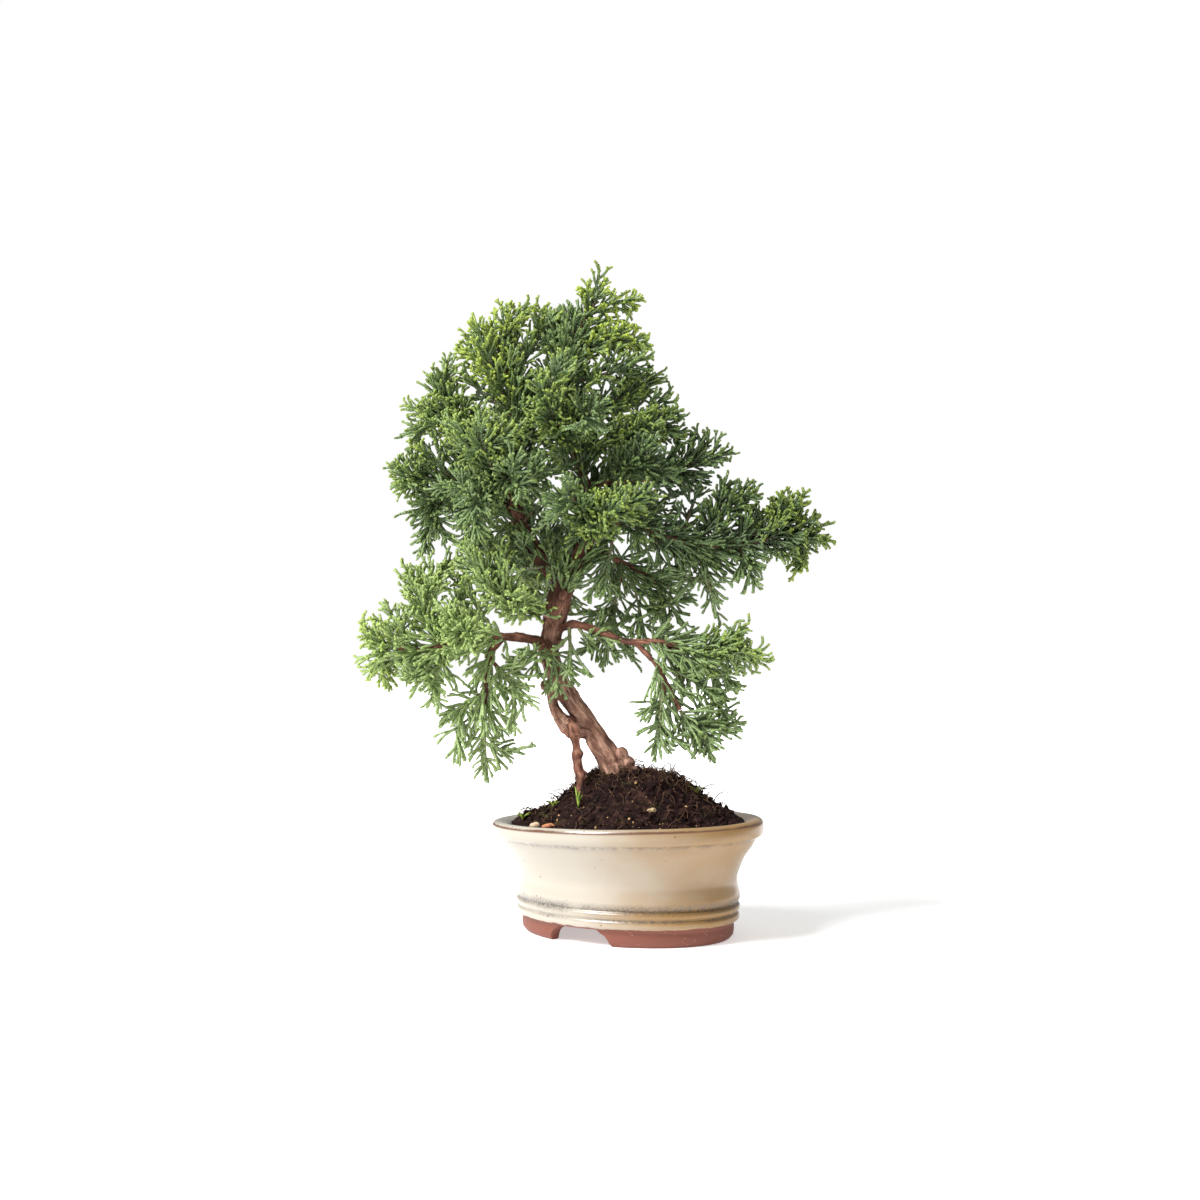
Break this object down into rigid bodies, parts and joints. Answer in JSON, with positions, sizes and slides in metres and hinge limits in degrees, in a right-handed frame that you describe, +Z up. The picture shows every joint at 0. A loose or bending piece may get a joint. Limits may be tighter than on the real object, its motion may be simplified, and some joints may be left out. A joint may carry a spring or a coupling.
{
  "type": "kishu juniper bonsai",
  "caption": "Small leaning juniper tree with cord-like scale foliage, planted in a mound of dark soil in a cream glazed oval pot that rests on crescent feet.",
  "frame": {"origin": "under the middle of the whole bonsai's bounding box, on the surface that the pot's feet stand on", "axes": "+Z up; -Y faces the viewer of the tree's front; the tree leans towards -X, and the pot's right end lies towards +X and -Y"},
  "size_m": [0.2476, 0.1384, 0.3512],
  "materials": {
    "glaze": "gloss",
    "screen": "matte",
    "bark": "matte",
    "soil": "matte",
    "sprout": "satin",
    "chip": "matte",
    "stone": "matte",
    "foliage": "satin"
  },
  "bodies": {
    "root": {"pot": "glaze", "drain_screen_left": "screen", "drain_screen_right": "screen", "trunk": "bark", "soil": "soil", "sprout_left": "sprout", "sprout_middle": "sprout", "sprout_right": "sprout", "grass_tuft": "sprout", "chip_bark": "chip", "chip_pale": "chip", "pebble": "stone", "foliage_apex": "foliage", "foliage_crown_spur": "foliage", "foliage_top_middle": "foliage", "foliage_top_left": "foliage", "foliage_top_far_left": "foliage", "foliage_shoulder": "foliage", "foliage_left_high": "foliage", "foliage_left_middle": "foliage", "foliage_left_low": "foliage", "foliage_crown_right": "foliage", "foliage_crown_right_low": "foliage", "foliage_right_spur": "foliage", "foliage_rosette_right": "foliage", "foliage_rosette_middle": "foliage", "foliage_rosette_left": "foliage", "foliage_front_top": "foliage", "foliage_front_high_right": "foliage", "foliage_front_high_left": "foliage", "foliage_front_right": "foliage", "foliage_front_left_low": "foliage", "foliage_back_top": "foliage", "foliage_back_upper_left": "foliage", "foliage_back_upper_right": "foliage", "foliage_back_middle": "foliage", "foliage_back_left_low": "foliage", "foliage_back_right_low": "foliage", "foliage_back_bottom": "foliage", "foliage_pad_top": "foliage", "foliage_pad_top_far": "foliage", "foliage_pad_far": "foliage", "foliage_pad_low": "foliage", "foliage_pad_hanging": "foliage", "foliage_pad_back": "foliage", "foliage_under_canopy": "foliage", "foliage_back_hanging": "foliage", "foliage_low_right_top": "foliage", "foliage_low_right_low": "foliage", "foliage_low_right_hanging": "foliage", "foliage_low_right_back": "foliage", "foliage_low_left_top": "foliage", "foliage_low_left_far": "foliage", "foliage_low_left_low": "foliage", "foliage_low_left_front": "foliage", "foliage_low_left_centre": "foliage", "foliage_low_left_back": "foliage", "foliage_hanging_left": "foliage", "foliage_hanging_middle": "foliage", "foliage_hanging_right": "foliage"}
  },
  "joints": []
}
